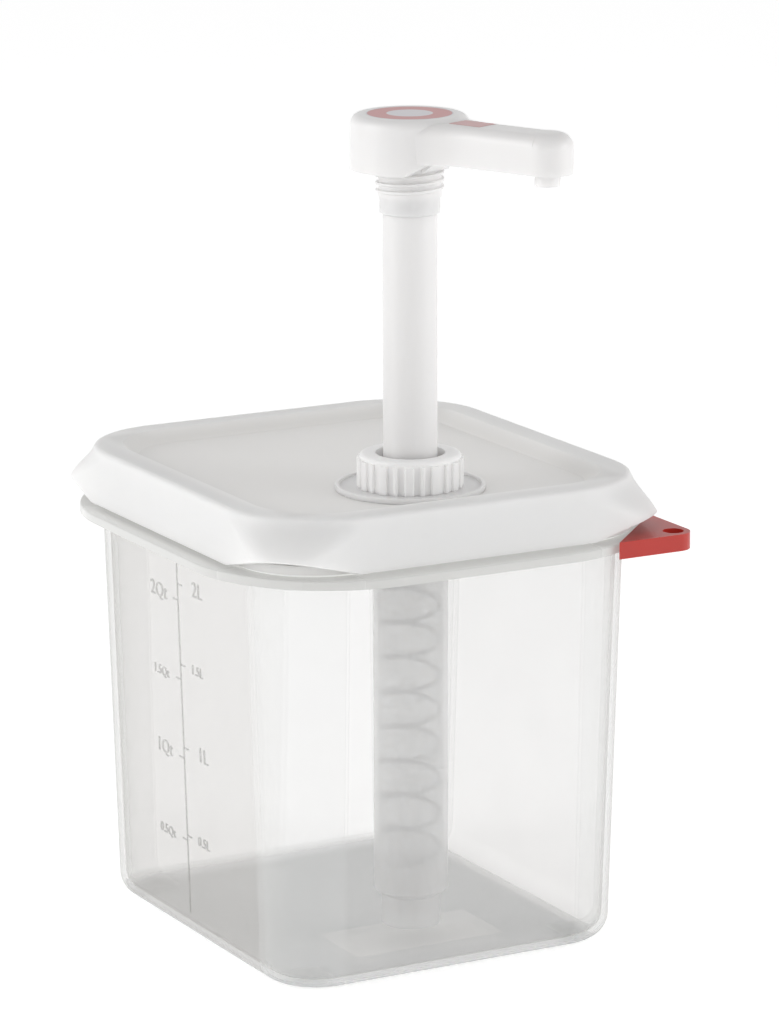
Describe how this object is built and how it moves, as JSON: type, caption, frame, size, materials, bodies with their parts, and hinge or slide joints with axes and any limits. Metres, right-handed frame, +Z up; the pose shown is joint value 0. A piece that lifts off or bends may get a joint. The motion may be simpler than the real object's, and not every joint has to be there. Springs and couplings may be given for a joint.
{
  "type": "condiment pump dispenser",
  "caption": "Square plastic tub with a press-on lid and a spring-loaded hand pump that draws sauce up and out of a swivelling spout.",
  "frame": {"origin": "centre of the tub's flat base, on the surface it stands on", "axes": "+Z up along the pump; X across the tub and Y along it, with the pump towards -Y"},
  "size_m": [0.162, 0.1848, 0.2822],
  "materials": {
    "clear_plastic": "translucent polypropylene, frosted at the corners",
    "lid_plastic": "milky translucent polyethylene",
    "white_plastic": "white, smooth moulded",
    "cylinder_plastic": "milky translucent polypropylene",
    "red_plastic": "red, smooth moulded",
    "seal_rubber": "soft white silicone",
    "steel": "stainless",
    "label_print": "printed film"
  },
  "bodies": {
    "container": {"container": "clear_plastic"},
    "rim_clip": {"rim_clip": "red_plastic"},
    "lid": {"lid": "lid_plastic", "lid_seal": "seal_rubber", "clamp_disc": "white_plastic", "cylinder_gasket": "seal_rubber", "pump_cylinder": "cylinder_plastic", "stem_guide": "white_plastic", "wiper_ring": "seal_rubber", "foot_valve_seat": "white_plastic", "foot_valve_cage": "white_plastic", "return_spring": "steel"},
    "nut_washer": {"nut_washer": "white_plastic"},
    "nut": {"retaining_nut": "white_plastic"},
    "foot_ball": {"foot_valve_ball": "steel"},
    "follower": {"spring_follower": "white_plastic"},
    "plunger": {"piston": "white_plastic", "piston_seal": "seal_rubber", "discharge_cage": "white_plastic", "stem_tube": "white_plastic", "stem_oring": "seal_rubber", "lock_neck": "white_plastic", "pump_head": "white_plastic", "spout_plate": "white_plastic", "nozzle_tip": "white_plastic", "head_badge": "label_print", "arm_label": "label_print"},
    "discharge_ball": {"discharge_ball": "steel"}
  },
  "joints": [
    {"name": "clip_pull", "type": "slide", "parent": "container", "child": "rim_clip", "axis": [0.7071, -0.7071, 0], "range_m": [0, 0.03]},
    {"name": "lid_lift", "type": "slide", "parent": "container", "child": "lid", "axis": [0, 0, 1], "range_m": [0, 0.17]},
    {"name": "nut_rise", "type": "slide", "parent": "lid", "child": "nut_washer", "axis": [0, 0, 1], "range_m": [0, 0.0051]},
    {"name": "nut_turn", "type": "hinge", "parent": "nut_washer", "child": "nut", "pos_m": [0, -0.036, 0.164], "axis": [0, 0, 1], "range_deg": [0, 720]},
    {"name": "pump_stroke", "type": "slide", "parent": "lid", "child": "follower", "axis": [0, 0, -1], "range_m": [0, 0.078], "stiffness_N_per_m": 250, "springref_m": -0.04, "deforming": ["return_spring"]},
    {"name": "head_swivel", "type": "hinge", "parent": "follower", "child": "plunger", "pos_m": [0, -0.036, 0.27], "axis": [0, 0, 1], "continuous": true},
    {"name": "foot_ball_lift", "type": "slide", "parent": "lid", "child": "foot_ball", "axis": [0, 0, 1], "range_m": [0, 0.003]},
    {"name": "discharge_ball_lift", "type": "slide", "parent": "plunger", "child": "discharge_ball", "axis": [0, 0, 1], "range_m": [0, 0.003]}
  ],
  "couplings": [
    {"joint": "nut_rise", "follows": "nut_turn", "m_per_rad": 0.00039789}
  ]
}
